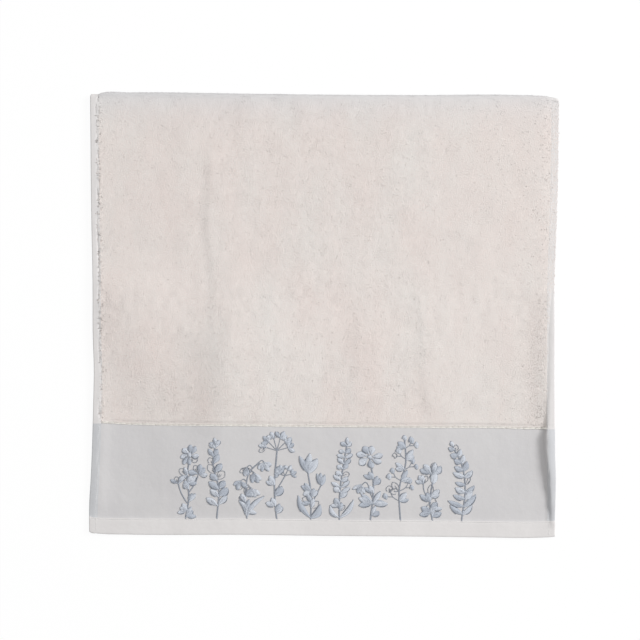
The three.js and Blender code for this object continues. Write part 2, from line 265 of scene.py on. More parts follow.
def cloth_middle(across, along):
    """The middle of the cloth's thickness, half its ground thickness, and the height of its loops.

    across runs from the left side (0) to the right one. along runs from the hem of the front layer
    (0) up to the fold, round it, and down the back layer to its hem.
    """
    turn = np.pi * np.clip((along - HALF_LENGTH) / FOLD_LENGTH, 0, 1)
    back = turn / np.pi
    from_end = np.minimum(np.minimum(along, CLOTH_LENGTH - along), HALF_LENGTH)
    level = from_end - HALF_LENGTH / 2
    box_left, box_right = solid_low.x / MM, solid_high.x / MM
    left = box_left + read(SIDES, "y", level, "left") + BACK_TUCK * back
    right = box_right - read(SIDES, "y", level, "right") - BACK_TUCK * back
    x = left + across / CLOTH_WIDTH * (right - left)

    near_right = CLOTH_WIDTH - across
    strip = SIDE_HEM + (read(RIGHT_SIDE, "y", level, "strip", 0) - SIDE_HEM) * (1 - back)
    ragged = RAGGED_EDGE * drift(0, along, RAGGED_LENGTH, 8)
    step = SIDE_STEP * (1.2 + drift(0, along, 8, 10))
    left_hem = 1 - ease((across - SIDE_HEM + PILE_OVER_LEFT + ragged) / step)
    upper = ease((level - UPPER_PART) / UPPER_EASE)
    over_hem = PILE_OVER_RIGHT - PILE_SHORT * upper
    right_hem = (1 - ease((near_right - strip + over_hem + ragged) / step)) * ease(strip / LEAST_STRIP)
    hem = np.maximum(left_hem, right_hem)
    off_table = read(LENGTHWISE, "at", from_end, "off", 0)
    layer = read(LENGTHWISE, "at", from_end, "whole", 0)
    ground = read(LENGTHWISE, "at", from_end, "ground", 0)
    side = read(LENGTHWISE, "at", from_end, "side", 0)
    whole = layer + (side - layer) * hem
    ground = ground + (side - ground) * hem
    gap = read(LENGTHWISE, "at", from_end, "gap", 0)

    fold_radius = (layer + gap) / 2
    box_front, box_back = solid_low.y / MM, solid_high.y / MM
    fold_start = box_back - read(ENDS, "x", x, "fold") - fold_radius - whole / 2
    hem_edge = box_front + read(ENDS, "x", x, "hem") + BACK_TUCK * back
    y = hem_edge + (fold_start - hem_edge) * from_end / HALF_LENGTH
    slant = ease(from_end / BAND_HEAD) * ease((HALF_LENGTH - from_end) / HEAD_FADE)
    y += read(ENDS, "x", x, "head") * slant

    near = right - x
    ridge, crest, foot, bend, rise = (
        read(RIGHT_SIDE, "y", y, key) for key in ("ridge", "crest", "foot", "bend", "rise")
    )
    lift = fold_lift(x, y) * ease(near / FOLDS_CLEAR)
    lift += LEFT_TILT * bump(across - SIDE_HEM, TILT_WIDTH) * read(LENGTHWISE, "at", from_end, "tilt", 0)
    sharp = crest + (foot - crest) / np.sqrt(2 * bend - 1) - CREASE_SHIFT
    lift += (1 - CREASE) * ridge * (1 - np.clip((near - crest) / (foot - crest), 0, 1) ** 2) ** bend
    lift += CREASE * ridge * ease((sharp - near) / CREASE_WIDTH + 0.5)
    lift -= CREST_ROUND * ridge**2 * (1 - np.clip(near / crest, 0, 1)) ** 2
    lift += rise * (1 - np.clip((near - RISE_TO) / (RISE_FROM - RISE_TO), 0, 1)) ** 2
    lift -= SIDE_DROOP * (1 - strip / SIDE_HEM) * bump(near_right, DROOP_WIDTH)
    open_here = ease(NOTCH_SHARE + NOTCH_SHARPNESS * drift(0, along, NOTCH_LENGTH, 31))
    open_here *= from_end > PILE_FULL
    left_notch = bump(across - SIDE_HEM + NOTCH_INSET + ragged, NOTCH_WIDTH)
    right_notch = bump(near_right - strip - RIGHT_NOTCH_INSET * (1 - ragged), RIGHT_NOTCH_WIDTH)
    lift -= NOTCH * open_here * left_notch
    lift -= RIGHT_NOTCH * upper * ease(strip / LEAST_NOTCHED) * right_notch
    lift = np.maximum(lift, LEAST_GAP - gap) * (1 - ease(back * FOLDS_TURN))
    height = off_table + layer + gap / 2 + fold_radius * np.cos(turn) + lift
    height = np.where(back >= 1, off_table + layer / 2, height)
    middle = np.stack([x, y + fold_radius * np.sin(turn), height], -1)
    return middle, ground / 2, (whole - ground) / 2


def cloth_place(across, along):
    """The middle of the cloth, its outward direction, half its thickness and its loops' height."""
    nudge = 0.2
    middle, half, pile = cloth_middle(across, along)
    beside = cloth_middle(across + nudge, along)[0] - middle
    further = cloth_middle(across, along + nudge)[0] - middle
    outward = np.cross(beside, further)
    outward /= np.linalg.norm(outward, axis=-1, keepdims=True)
    return middle, outward, half, pile


def stations(stretches):
    """Places from 0 along the cloth: for each stretch, up to where it goes and in what steps."""
    places = [np.array([0.0])]
    for end, step in stretches:
        start = places[-1][-1]
        count = max(1, round((end - start) / step))
        places.append(np.linspace(start, end, count + 1)[1:])
    return np.concatenate(places)


def new_mesh(name, points, faces, materials, zones=None):
    """A mesh object from points in millimetres and faces that all have as many corners."""
    mesh = bpy.data.meshes.new(name)
    corners = faces.shape[1]
    mesh.vertices.add(len(points))
    mesh.vertices.foreach_set("co", (points * MM).astype(np.float32).ravel())
    mesh.loops.add(faces.size)
    mesh.loops.foreach_set("vertex_index", faces.astype(np.int32).ravel())
    mesh.polygons.add(len(faces))
    mesh.polygons.foreach_set("loop_start", np.arange(0, faces.size, corners, dtype=np.int32))
    mesh.polygons.foreach_set("use_smooth", np.ones(len(faces), bool))
    if zones is not None:
        mesh.polygons.foreach_set("material_index", zones.astype(np.int32))
    mesh.update(calc_edges=True)
    for material in materials:
        mesh.materials.append(material)
    piece = bpy.data.objects.new(name, mesh)
    bpy.context.scene.collection.objects.link(piece)
    return piece


def node_group(name, inputs, outputs):
    """An empty shader node group with named sockets, and its input and output nodes."""
    group = bpy.data.node_groups.new(name, "ShaderNodeTree")
    for socket, kind, default in inputs:
        made = group.interface.new_socket(name=socket, in_out="INPUT", socket_type=kind)
        made.default_value = default
    for socket, kind in outputs:
        group.interface.new_socket(name=socket, in_out="OUTPUT", socket_type=kind)
    return group, group.nodes.new("NodeGroupInput"), group.nodes.new("NodeGroupOutput")


def cotton_shade_group():
    """Uneven colour of cotton yarn: soft streaks along the warp, and a finer fleck from yarn to yarn."""
    group, given, result = node_group(
        "cotton shade",
        [
            ("Colour", "NodeSocketColor", (0.8, 0.8, 0.8, 1)),
            ("Deep Colour", "NodeSocketColor", (0.7, 0.7, 0.7, 1)),
            ("Patch Scale", "NodeSocketFloat", 20.0),
            ("Fleck Scale", "NodeSocketFloat", 400.0),
            ("Fleck", "NodeSocketFloat", 0.3),
        ],
        [("Colour", "NodeSocketColor")],
    )
    nodes, links = group.nodes, group.links
    place = nodes.new("ShaderNodeTexCoord")
    patches = nodes.new("ShaderNodeTexNoise")
    flecks = nodes.new("ShaderNodeTexNoise")
    patches.inputs["Detail"].default_value = 3
    flecks.inputs["Detail"].default_value = 1
    both = nodes.new("ShaderNodeMix")
    both.data_type = "FLOAT"
    mix = nodes.new("ShaderNodeMix")
    mix.data_type = "RGBA"
    stretch = nodes.new("ShaderNodeMapRange")
    stretch.inputs["From Min"].default_value = 0.3
    stretch.inputs["From Max"].default_value = 0.7
    along_warp = nodes.new("ShaderNodeMapping")
    along_warp.inputs["Scale"].default_value = (-1, 0.4, 1)
    links.new(place.outputs["Object"], along_warp.inputs["Vector"])
    links.new(along_warp.outputs["Vector"], patches.inputs["Vector"])
    links.new(place.outputs["Object"], flecks.inputs["Vector"])
    links.new(given.outputs["Patch Scale"], patches.inputs["Scale"])
    links.new(given.outputs["Fleck Scale"], flecks.inputs["Scale"])
    links.new(given.outputs["Fleck"], both.inputs[0])
    links.new(patches.outputs[0], both.inputs[2])
    links.new(flecks.outputs[0], both.inputs[3])
    links.new(both.outputs[0], stretch.inputs["Value"])
    links.new(stretch.outputs[0], mix.inputs[0])
    links.new(given.outputs["Deep Colour"], mix.inputs[6])
    links.new(given.outputs["Colour"], mix.inputs[7])
    links.new(mix.outputs[2], result.inputs["Colour"])
    return group


def woven_group():
    """The relief of woven cloth: warp ribs crossed by picks, a little uneven."""
    group, given, result = node_group(
        "woven relief",
        [
            ("Rib Pitch", "NodeSocketFloat", 0.001),
            ("Pick Pitch", "NodeSocketFloat", 0.001),
            ("Picks", "NodeSocketFloat", 0.5),
            ("Crumple", "NodeSocketFloat", 1.0),
        ],
        [("Height", "NodeSocketFloat")],
    )
    nodes, links = group.nodes, group.links
    place = nodes.new("ShaderNodeTexCoord")
    parts = nodes.new("ShaderNodeSeparateXYZ")
    links.new(place.outputs["Object"], parts.inputs[0])
    ribs = []
    for axis, pitch in (("X", "Rib Pitch"), ("Y", "Pick Pitch")):
        turns = nodes.new("ShaderNodeMath")
        turns.operation = "DIVIDE"
        wave = nodes.new("ShaderNodeMath")
        wave.operation = "PINGPONG"
        wave.inputs[1].default_value = 0.5
        links.new(parts.outputs[axis], turns.inputs[0])
        links.new(given.outputs[pitch], turns.inputs[1])
        links.new(turns.outputs[0], wave.inputs[0])
        ribs.append(wave)
    mix = nodes.new("ShaderNodeMix")
    mix.data_type = "FLOAT"
    links.new(given.outputs["Picks"], mix.inputs[0])
    links.new(ribs[0].outputs[0], mix.inputs[2])
    links.new(ribs[1].outputs[0], mix.inputs[3])
    lumps = nodes.new("ShaderNodeTexNoise")
    lumps.inputs["Scale"].default_value = 55
    lumps.inputs["Detail"].default_value = 3
    uneven = nodes.new("ShaderNodeMath")
    uneven.operation = "MULTIPLY_ADD"
    links.new(place.outputs["Object"], lumps.inputs["Vector"])
    links.new(lumps.outputs[0], uneven.inputs[0])
    links.new(given.outputs["Crumple"], uneven.inputs[1])
    links.new(mix.outputs[0], uneven.inputs[2])
    links.new(uneven.outputs[0], result.inputs["Height"])
    return group


cotton_shade = cotton_shade_group()
woven_relief = woven_group()


def linear(red, green, blue):
    """A colour given as 0 to 255 on screen, as the shader wants it."""
    shares = [c / 255 for c in (red, green, blue)]
    return (*[s / 12.92 if s <= 0.04045 else ((s + 0.055) / 1.055) ** 2.4 for s in shares], 1)


def cotton(name, colour, deep, patch_scale=20.0, fleck_scale=400.0, fleck=0.3, roughness=0.9):
    """A cotton finish, and its Principled node, whose relief is linked afterwards."""
    material = bpy.data.materials.new(name)
    material.use_nodes = True
    nodes, links = material.node_tree.nodes, material.node_tree.links
    surface = nodes["Principled BSDF"]
    surface.inputs["Roughness"].default_value = roughness
    shade = nodes.new("ShaderNodeGroup")
    shade.node_tree = cotton_shade
    shade.inputs["Colour"].default_value = linear(*colour)
    shade.inputs["Deep Colour"].default_value = linear(*deep)
    shade.inputs["Patch Scale"].default_value = patch_scale
    shade.inputs["Fleck Scale"].default_value = fleck_scale
    shade.inputs["Fleck"].default_value = fleck
    links.new(shade.outputs["Colour"], surface.inputs["Base Color"])
    return material, surface


def weave(material, surface, rib, pick, picks, depth, crumple=0.0):
    """Gives a cotton finish its woven relief and a light crumple, in millimetres.

    rib and pick are the pitches of the ribs along and across the warp, and picks is the share of the
    relief that those across it have.
    """
    nodes, links = material.node_tree.nodes, material.node_tree.links
    relief = nodes.new("ShaderNodeGroup")
    relief.node_tree = woven_relief
    relief.inputs["Rib Pitch"].default_value = rib * MM
    relief.inputs["Pick Pitch"].default_value = pick * MM
    relief.inputs["Picks"].default_value = picks
    relief.inputs["Crumple"].default_value = crumple / depth
    dent = nodes.new("ShaderNodeBump")
    dent.inputs["Distance"].default_value = depth * MM
    links.new(relief.outputs["Height"], dent.inputs["Height"])
    links.new(dent.outputs["Normal"], surface.inputs["Normal"])
    return material


# Terry is painted greyer over the last stretch up to the fold, and darker on its rim, which is painted shade
# where the fold turns away from the light. Each row gives a place as a share of that stretch, a colour, and
# how much of it there is.
FOLD_SHADE_LENGTH = 75.0
FOLD_GREY = (217, 216, 217)
# the rim's colour is painted shade, darker where the fold turns away from the light
RIM_PAINTED_SHADE = (210, 209, 210)
FOLD_GREY_AND_SHADE_STOPS = [
    {"at": 0, "colour": FOLD_GREY, "share": 0},
    {"at": 0.42, "colour": FOLD_GREY, "share": 0.12},
    {"at": 0.62, "colour": FOLD_GREY, "share": 0.3},
    {"at": 0.83, "colour": FOLD_GREY, "share": 0.65},
    {"at": 0.92, "colour": RIM_PAINTED_SHADE, "share": 0.88},
    {"at": 1, "colour": RIM_PAINTED_SHADE, "share": 1},
]


def fold_grey_and_shade_group():
    """Turns a colour greyer towards the fold, with painted shade on its rim."""
    group, given, result = node_group(
        "fold grey and painted shade",
        [("Colour", "NodeSocketColor", (0.8, 0.8, 0.8, 1))],
        [("Colour", "NodeSocketColor")],
    )
    nodes, links = group.nodes, group.links
    place = nodes.new("ShaderNodeTexCoord")
    parts = nodes.new("ShaderNodeSeparateXYZ")
    closeness = nodes.new("ShaderNodeMapRange")
    closeness.inputs["From Min"].default_value = solid_high.y - FOLD_SHADE_LENGTH * MM
    closeness.inputs["From Max"].default_value = solid_high.y
    fade = nodes.new("ShaderNodeValToRGB")
    stops = fade.color_ramp.elements
    for number, row in enumerate(FOLD_GREY_AND_SHADE_STOPS):
        stop = stops[number] if number < 2 else stops.new(row["at"])
        stop.position = row["at"]
        stop.color = (*linear(*row["colour"])[:3], row["share"])
    mix = nodes.new("ShaderNodeMix")
    mix.data_type = "RGBA"
    links.new(place.outputs["Object"], parts.inputs[0])
    links.new(parts.outputs["Y"], closeness.inputs["Value"])
    links.new(closeness.outputs[0], fade.inputs[0])
    links.new(fade.outputs["Alpha"], mix.inputs[0])
    links.new(given.outputs["Colour"], mix.inputs[6])
    links.new(fade.outputs["Color"], mix.inputs[7])
    links.new(mix.outputs[2], result.inputs["Colour"])
    return group


fold_grey_and_shade = fold_grey_and_shade_group()


def greyed_and_shaded_at_fold(material, surface):
    """Gives a cotton finish its greyer colour towards the fold, and the painted shade on its rim."""
    nodes, links = material.node_tree.nodes, material.node_tree.links
    fade = nodes.new("ShaderNodeGroup")
    fade.node_tree = fold_grey_and_shade
    links.new(surface.inputs["Base Color"].links[0].from_socket, fade.inputs["Colour"])
    links.new(fade.outputs["Colour"], surface.inputs["Base Color"])
    return material, surface


TERRY_COLOUR = (224, 220, 216)
TERRY_DEEP = (224, 212, 207)
ground_yarn = cotton("terry ground", TERRY_COLOUR, TERRY_DEEP)
# the terry's ground takes the grey and the painted shade towards the fold
terry_ground = weave(*greyed_and_shaded_at_fold(*ground_yarn), rib=1.6, pick=1.6, picks=0.5, depth=0.3)
band_yarn = cotton("satin band", (208, 206, 206), (203, 201, 202), roughness=0.62)
band_face = weave(*band_yarn, rib=0.55, pick=2.2, picks=0.25, depth=0.06, crumple=0.8)
wrong_yarn = cotton("wrong side of the band", (204, 205, 207), (198, 199, 202))
band_wrong_side = weave(*wrong_yarn, rib=0.7, pick=0.7, picks=0.5, depth=0.08, crumple=0.8)
hem_yarn = cotton("plain hem", (223, 220, 219), (218, 215, 214))
plain_hem = weave(*hem_yarn, rib=0.8, pick=0.8, picks=0.5, depth=0.08, crumple=1.0)
FINISHES = [terry_ground, band_face, band_wrong_side, plain_hem]
TERRY, BAND, WRONG_SIDE, PLAIN = range(len(FINISHES))

# The mesh of the cloth is finest round its edges, at the head of the band and in the fold.
side_columns = [(EDGE_ROUND, 0.5), (16, 1.0), (30, 2), (CLOTH_WIDTH - 40, 7), (CLOTH_WIDTH - 24, 2)]
across = stations([*side_columns, (CLOTH_WIDTH - EDGE_ROUND, 0.9), (CLOTH_WIDTH, 0.5)])
front_rows = [(EDGE_ROUND, 0.5), (32, 2), (BAND_HEAD - 4, 4), (PILE_FULL + 4, 1.4), (HALF_LENGTH - 4, 7)]
fold_rows = [(HALF_LENGTH, 2), (FOLD_END, 1), (FOLD_END + 4, 2)]
back_rows = [(CLOTH_LENGTH - PILE_FULL - 4, 24), (CLOTH_LENGTH - BAND_HEAD, 2.5), (CLOTH_LENGTH - 32, 12)]
end_rows = [(CLOTH_LENGTH - EDGE_ROUND, 3), (CLOTH_LENGTH, 0.5)]
along = stations([*front_rows, *fold_rows, *back_rows, *end_rows])


def cloth_mesh():
    """The outer and inner faces of the whole cloth, closed round its four rounded edges."""
    grid_across, grid_along = np.meshgrid(across, along)
    middle, outward, half, _ = cloth_place(grid_across, grid_along)
    edge = np.minimum.reduce(
        [grid_across, CLOTH_WIDTH - grid_across, grid_along, CLOTH_LENGTH - grid_along]
    )
    rounding = np.sqrt(1 - EDGE_THINNING * (1 - np.clip(edge / EDGE_ROUND, 0, 1)) ** 2)
    reach = outward * (half * rounding)[..., None]
    points = np.stack([middle + reach, middle - reach], 2).reshape(-1, 3)
    rows, columns = grid_across.shape
    place = np.arange(rows * columns).reshape(rows, columns) * 2
    a, b, c, d = place[:-1, :-1], place[:-1, 1:], place[1:, 1:], place[1:, :-1]
    outer = np.stack([a, b, c, d], -1).reshape(-1, 4)
    inner = np.stack([a, d, c, b], -1).reshape(-1, 4) + 1

    def rim(line):
        return np.stack([line[:-1], line[:-1] + 1, line[1:] + 1, line[1:]], -1)

    rims = [rim(place[0]), rim(place[-1][::-1]), rim(place[::-1, 0]), rim(place[:, -1])]
    return points, np.concatenate([outer, inner, *rims])


def cloth_zones(faces):
    """The finish of each face: terry, band, the turned wrong side of the band, or plain hem."""
    place = faces[:, 0] // 2
    column, row = place % len(across), place // len(across)
    from_end = np.minimum(along[row], CLOTH_LENGTH - along[row])
    inset = np.minimum(across[column], CLOTH_WIDTH - across[column])
    on_side_hem = inset < SIDE_HEM - 0.5
    zones = np.full(len(faces), TERRY)
    zones[from_end < BAND_HEAD] = BAND
    zones[on_side_hem] = PLAIN
    zones[on_side_hem & (from_end < BAND_HEAD)] = WRONG_SIDE
    zones[from_end < HEM_DEPTH - 0.5] = PLAIN
    return zones


points, faces = cloth_mesh()
cloth = new_mesh("towel_cloth", points, faces, FINISHES, cloth_zones(faces))
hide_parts("towel")
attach(cloth, "root")

# ----------------------------------------------------------------------------------------------------
# The loops. Each is a short arch of soft cotton yarn that stands out of the ground cloth. They are woven
# in rows with it, lean this way and that, and hide the ground between them. They are made on the face
# that lies outwards, and on the hidden back layer they are larger and fewer.
# ----------------------------------------------------------------------------------------------------
BACK_FOOT = CLOTH_LENGTH - PILE_FOOT
PILES = [
    {"layer": "front", "start": PILE_FOOT, "end": FOLD_END, "pitch": 1.93, "length": 2.9, "width": 1.5},
    {"layer": "back", "start": FOLD_END, "end": BACK_FOOT, "pitch": 4.0, "length": 5.2, "width": 2.7},
]
LOOPS_IN_A_PIECE = 32000
LEAST_PILE = 0.1  # there are no loops where the pile is lower than this
LOOP_SINK = 0.4  # how deep the feet stand in the ground cloth
LOOP_SHORT = 0.15  # the share of the pile's height that loops lack, before their drift and noise
LOOP_NOISE = {"way": 0.5, "size": 0.17, "height": 0.1, "beside": 0.3, "along": 0.4}  # from loop to loop
SOFTNESS = 0.45  # how evenly loose yarn scatters the light, from 0 as a hard surface to 1
PILE_LEAN = 3.5  # loops on a slope lean down it, by so many times its own tilt
MOST_LEAN = 0.5
UPRIGHT_WIDTH = 14.0  # less so within this of a side hem
CLUMP_LEAN = 0.33  # and they lean together in small clumps

# Towards the right side and on the upper left the pile is more even: its clumps lean less, and its yarn
# scatters the light more.
EVEN_RIGHT = 0.7
EVEN_LEFT = 0.6
EVEN_FROM = 100.0  # it starts this far from the middle of the towel, and is full at twice that
EVEN_BELOW = 60.0  # on the left it fades out over this, below the middle
EVEN_SOFTNESS = 1.45

# How loops drift together: how much, in lumps of what size, and how far these are drawn out lengthwise.
LOOP_DRIFTS = [
    {"of": "way", "much": 1.0, "size": 9, "stretch": 1, "seed": 3},
    {"of": "way", "much": 0.6, "size": 34, "stretch": 1, "seed": 4},
    {"of": "size", "much": 0.1, "size": 8, "stretch": 1.5, "seed": 5},
    {"of": "height", "much": 0.15, "size": 9, "stretch": 2, "seed": 6},
    {"of": "sideways lean", "much": 1.0, "size": 3.4, "stretch": 1.4, "seed": 7},
    {"of": "sideways lean", "much": 0.5, "size": 8, "stretch": 1.4, "seed": 13},
    {"of": "lengthwise lean", "much": 1.0, "size": 4, "stretch": 1, "seed": 9},
    {"of": "lengthwise lean", "much": 0.5, "size": 9, "stretch": 1, "seed": 14},
]

# Where the nap of the front layer has been stroked a little to the left.
NAP = [
    {"x": 60, "y": -110, "wide": 190, "high": 80, "lean": -0.07},
    {"x": 45, "y": -55, "wide": 55, "high": 70, "lean": -0.14},
    {"x": -230, "y": -90, "wide": 50, "high": 70, "lean": -0.08},
    {"x": -250, "y": 210, "wide": 110, "high": 130, "lean": -0.05},
    {"x": 312, "y": -75, "wide": 34, "high": 90, "lean": -0.12},
]

# Where use has pulled the loops of the front layer into small tufts.
TUFTS = [
    {"x": 0, "y": 115, "wide": 34, "high": 42, "share": 1},
    {"x": 45, "y": 15, "wide": 62, "high": 46, "share": 1},
    {"x": -128, "y": -125, "wide": 36, "high": 34, "share": 1},
    {"x": 318, "y": -45, "wide": 20, "high": 120, "share": 1},
    {"x": 310, "y": 210, "wide": 30, "high": 46, "share": 1},
]
# They lean to the one side or the other, and lie in slanting lines.
TUFT_WAYS = [
    {"way": 1, "slant": 0.3, "stretch": 1.6, "seed": 15},
    {"way": -1, "slant": -0.25, "stretch": 1.5, "seed": 16},
]
TUFT_SIZE = 3.0
TUFT_CUT = 0.7  # tufts stand only where their drift is above this
TUFT_EDGE = 0.25
TUFT_LEAN = 1.5
TUFT_TALL = 1.3  # millimetres more than the loops round it
TUFTS_ELSEWHERE = 0.12  # how much of the tufts there is outside those places

# Beside the left hem, and a little beside the right one, loops are brushed to and fro and pulled out.
BRUSHED = [
    {"side": "left", "inside_hem": -0.5, "wide": 4.5, "share": 1},
    {"side": "right", "inside_hem": 6.0, "wide": 8.0, "share": 0.2},
]
BRUSH_LEAN = 2.0
BRUSH_SIZE = 2.8
BRUSH_NOISE = 0.7
PULLED_TALL = 1.1  # millimetres more than the others, and by a hem PULLED_TALLER of that again
PULLED_TALLER = 1.2
PULLED_SHARE = 0.02  # of all loops, and by a hem PULLED_AT_HEM more
PULLED_AT_HEM = 0.2
TERRY_SHEEN = 0.15


def loop_places(pile, seed):
    """Where the loops stand: rows of the warp with a little scatter, as (across, along)."""
    random = np.random.default_rng(seed)
    pitch, scatter = pile["pitch"], pile["pitch"] / 2
    columns = np.arange(pitch, CLOTH_WIDTH, pitch)
    rows = np.arange(pile["start"], pile["end"], pitch)
    grid_across, grid_along = np.meshgrid(columns, rows)
    shift = (np.arange(len(columns)) % 2) * pitch / 2
    spots_across = grid_across + random.uniform(-scatter, scatter, grid_across.shape)
    spots_along = grid_along + shift + random.uniform(-scatter, scatter, grid_across.shape)
    return spots_across.ravel(), spots_along.ravel()


def in_places(table, x, y, column):
    """A column of a table of soft oval places, summed at (x, y)."""
    total = np.zeros(len(x))
    for row in table:
        total += row[column] * bump(x - row["x"], row["wide"]) * bump(y - row["y"], row["high"])
    return total


def loop_drift(of, x, y):
    """How far the loops at (x, y) drift together in one respect."""
    rows = [row for row in LOOP_DRIFTS if row["of"] == of]
    return sum(row["much"] * drift(x, y / row["stretch"], row["size"], row["seed"]) for row in rows)


def loops_mesh(spots_across, spots_along, pile, seed):
    """One small closed arch for each place that has a pile: two feet and a crown of three corners."""
    random = np.random.default_rng(seed)
    middle, outward, half, tall = cloth_place(spots_across, spots_along)
    stands = tall > LEAST_PILE
    middle, outward, half, tall = (v[stands] for v in (middle, outward, half, tall))
    from_side = {"left": spots_across[stands], "right": CLOTH_WIDTH - spots_across[stands]}
    inset = np.minimum(from_side["left"], from_side["right"])
    x, y = middle[:, 0], middle[:, 1]
    count = len(x)

    # Which way each loop runs along the ground, and its size.
    way = loop_drift("way", x, y) + random.normal(0, LOOP_NOISE["way"], count)
    size = 1 + loop_drift("size", x, y) + random.uniform(-LOOP_NOISE["size"], LOOP_NOISE["size"], count)
    warp = np.cross(outward, [1.0, 0.0, 0.0])
    warp /= np.linalg.norm(warp, axis=1, keepdims=True)
    weft = np.cross(warp, outward)
    run = warp * np.cos(way)[:, None] + weft * np.sin(way)[:, None]
    side = np.cross(outward, run)

    # Which way it leans: down a slope, with its clump, in a tuft, as the nap lies, or over the hem.
    even = EVEN_LEFT * ease((-x - EVEN_FROM) / EVEN_FROM) * ease(y / EVEN_BELOW + 1)
    even += EVEN_RIGHT * ease((x - EVEN_FROM) / EVEN_FROM)
    clumps = CLUMP_LEAN * (1 - even)
    tufts, at_hem = np.zeros(count), np.zeros(count)
    for row in TUFT_WAYS:
        lumps = drift(x + row["slant"] * y, y / row["stretch"], TUFT_SIZE, row["seed"])
        tufts += row["way"] * ease((lumps - TUFT_CUT) / TUFT_EDGE)
    tufts *= TUFTS_ELSEWHERE + in_places(TUFTS, x, y, "share")
    for row in BRUSHED:
        beside = from_side[row["side"]] - SIDE_HEM - row["inside_hem"]
        at_hem += row["share"] * bump(beside, row["wide"])
    brushed = at_hem * drift(x, y, BRUSH_SIZE, 41)
    lean = np.clip(outward[:, :2] * PILE_LEAN, -MOST_LEAN, MOST_LEAN)
    lean *= ease((inset - SIDE_HEM) / UPRIGHT_WIDTH)[:, None]
    lean[:, 0] += clumps * loop_drift("sideways lean", x, y)
    lean[:, 0] += TUFT_LEAN * tufts + in_places(NAP, x, y, "lean")
    lean[:, 0] += BRUSH_LEAN * brushed + at_hem * random.normal(0, BRUSH_NOISE, count)
    lean[:, 1] += clumps * loop_drift("lengthwise lean", x, y)
    facing = outward + np.pad(lean, ((0, 0), (0, 1)))
    facing /= np.linalg.norm(facing, axis=1, keepdims=True)

    # How tall it stands. Tufts and pulled loops stand taller, but only on the front layer.
    pulled = random.random(count) < PULLED_SHARE + PULLED_AT_HEM * at_hem
    pulled = pulled * (1 + PULLED_TALLER * at_hem)
    shorter = LOOP_SHORT - loop_drift("height", x, y)
    shorter += np.abs(random.normal(0, LOOP_NOISE["height"], count))
    on_top = (outward[:, 2] > 0.3) & (pile["layer"] == "front")
    tall *= 1 - shorter + brushed * on_top
    tall += LOOP_SINK + (np.maximum(0, TUFT_TALL * tufts) + PULLED_TALL * pulled) * on_top

    stray = side * random.normal(0, LOOP_NOISE["beside"], count)[:, None]
    stray += run * random.normal(0, LOOP_NOISE["along"], count)[:, None]
    foot = middle + outward * (half - LOOP_SINK)[:, None]
    crown = foot + facing * tall[:, None] + stray
    reach = run * (pile["length"] / 2 * size)[:, None]
    flank = side * (pile["width"] / 2 * size)[:, None]
    drop = outward * (tall / 2)[:, None]
    corners = np.stack([foot - reach, foot + reach, crown, crown - flank - drop, crown + flank - drop], 1)
    first = np.arange(count)[:, None, None] * 5
    arch = np.array([[0, 3, 2], [0, 2, 4], [0, 4, 3], [1, 2, 3], [1, 4, 2], [1, 3, 4]])
    softly = facing * (1 + EVEN_SOFTNESS * even)[:, None]
    return corners.reshape(-1, 3), (first + arch).reshape(-1, 3), np.repeat(softly, 5, 0)


def soften(mesh, softly):
    """Turns the shading of a mesh part of the way towards the directions given."""
    normals = np.empty(len(mesh.vertices) * 3, np.float32)
    mesh.vertices.foreach_get("normal", normals)
    normals = normals.reshape(-1, 3) * (1 - SOFTNESS) + softly * SOFTNESS
    mesh.normals_split_custom_set_from_vertices(normals / np.linalg.norm(normals, axis=1, keepdims=True))


loop_yarn = cotton("terry loops", TERRY_COLOUR, TERRY_DEEP, patch_scale=17, fleck_scale=620, fleck=0.4)
# the loops take the grey and the painted shade towards the fold, too
terry_loops, terry_surface = greyed_and_shaded_at_fold(*loop_yarn)
terry_surface.inputs["Sheen Weight"].default_value = TERRY_SHEEN
for pile in PILES:
    spots_across, spots_along = loop_places(pile, 11)
    pieces = math.ceil(len(spots_across) / LOOPS_IN_A_PIECE)
    parts = zip(np.array_split(spots_across, pieces), np.array_split(spots_along, pieces))
    for number, (part_across, part_along) in enumerate(parts, 1):
        points, faces, softly = loops_mesh(part_across, part_along, pile, 20 + number)
        piece = new_mesh(f"terry_loops_{pile['layer']}_{number}", points, faces, [terry_loops])
        soften(piece.data, softly)
        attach(piece, "root")

# ----------------------------------------------------------------------------------------------------
# The picks. Two thick cream weft yarns are woven in above each band and float on its face, where the
# loops begin.
# ----------------------------------------------------------------------------------------------------
PICK_ROWS = [
    {"above_band": 0.9, "width": 2.1, "tall": 0.95},
    {"above_band": 3.0, "width": 1.1, "tall": 0.6},
]
FLOAT_LENGTH = 9.0
FLOAT_OVERLAP = 1.45  # each float runs on under the next one
FLOAT_NOISE = {"start": 1.0, "level": 0.2, "slant": 0.15}  # from float to float
FLOAT_WIDTHS = (0.8, 1.1)  # as shares of the pick's own width and height
FLOAT_HEIGHTS = (0.7, 1.1)
THREAD_SINK = 0.12
THREAD_SHOULDER = 0.16  # the share of a thread's length over which it rises at each end
THREAD_FLANK = 0.3  # the share of its height at which it is widest


